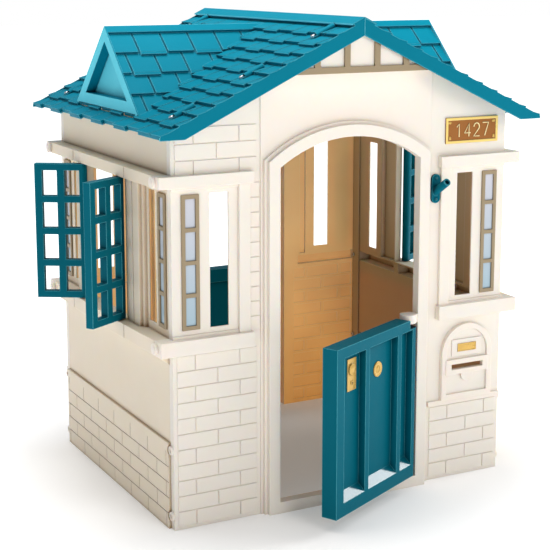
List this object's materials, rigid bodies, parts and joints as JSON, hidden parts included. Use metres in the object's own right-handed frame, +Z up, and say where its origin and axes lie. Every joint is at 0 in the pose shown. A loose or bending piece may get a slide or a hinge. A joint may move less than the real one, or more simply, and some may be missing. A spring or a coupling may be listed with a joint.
{
  "type": "plastic playhouse",
  "caption": "Children's plastic playhouse with a shingled roof and dormers, half doors, hinged window shutters, brick-look walls, a mailbox and a flag holder.",
  "frame": {"origin": "on the ground under the middle of the playhouse's box at rest, front half door ajar", "axes": "+X to the right seen from the front, -Y out of the front doorway, +Z up"},
  "size_m": [1.272, 1.0534, 1.257],
  "materials": {
    "wall_plastic": "matte",
    "roof_plastic": "satin",
    "door_plastic": "satin",
    "trim_plastic": "matte",
    "pane_sheet": "gloss",
    "brass_trim": "gloss",
    "screw_steel": "satin"
  },
  "bodies": {
    "house": {"front_panel": "wall_plastic", "back_panel": "wall_plastic", "left_panel": "wall_plastic", "right_panel": "wall_plastic", "roof_left": "roof_plastic", "roof_right": "roof_plastic", "front_gable_truss": "trim_plastic", "back_gable_truss": "trim_plastic", "front_window_frames": "trim_plastic", "back_window_frames": "trim_plastic", "left_window_frames": "trim_plastic", "right_window_frames": "trim_plastic", "front_window_panes": "pane_sheet", "back_window_panes": "pane_sheet", "left_window_panes": "pane_sheet", "right_window_panes": "pane_sheet", "house_number_plaque": "brass_trim", "house_number_digits": "brass_trim", "house_number_rivets": "brass_trim", "mailbox_label": "brass_trim", "flag_holder": "door_plastic", "flag_holder_screws": "screw_steel", "roof_screws": "screw_steel", "corner_screws": "screw_steel"},
    "front_door_leaf": {"front_door": "door_plastic", "front_door_lock_plate": "brass_trim", "front_door_roundel": "brass_trim"},
    "back_door_leaf": {"back_door": "door_plastic"},
    "left_front_leaf": {"left_front_shutter": "door_plastic"},
    "left_rear_leaf": {"left_rear_shutter": "door_plastic"},
    "right_front_leaf": {"right_front_shutter": "door_plastic"},
    "right_rear_leaf": {"right_rear_shutter": "door_plastic"}
  },
  "joints": [
    {"name": "front_door_hinge", "type": "hinge", "parent": "house", "child": "front_door_leaf", "pos_m": [0.181, -0.33682, 0.25], "axis": [0, 0, 1], "range_deg": [-27, 72]},
    {"name": "back_door_hinge", "type": "hinge", "parent": "house", "child": "back_door_leaf", "pos_m": [-0.181, 0.46318, 0.25], "axis": [0, 0, 1], "range_deg": [0, 99]},
    {"name": "left_front_shutter_hinge", "type": "hinge", "parent": "house", "child": "left_front_leaf", "pos_m": [-0.5185, -0.06882, 0.67], "axis": [0, 0, 1], "range_deg": [-121, 55]},
    {"name": "left_rear_shutter_hinge", "type": "hinge", "parent": "house", "child": "left_rear_leaf", "pos_m": [-0.5185, 0.19518, 0.67], "axis": [0, 0, 1], "range_deg": [-55, 121]},
    {"name": "right_rear_shutter_hinge", "type": "hinge", "parent": "house", "child": "right_rear_leaf", "pos_m": [0.5185, 0.19518, 0.67], "axis": [0, 0, 1], "range_deg": [-121, 55]},
    {"name": "right_front_shutter_hinge", "type": "hinge", "parent": "house", "child": "right_front_leaf", "pos_m": [0.5185, -0.06882, 0.67], "axis": [0, 0, 1], "range_deg": [-55, 121]}
  ]
}
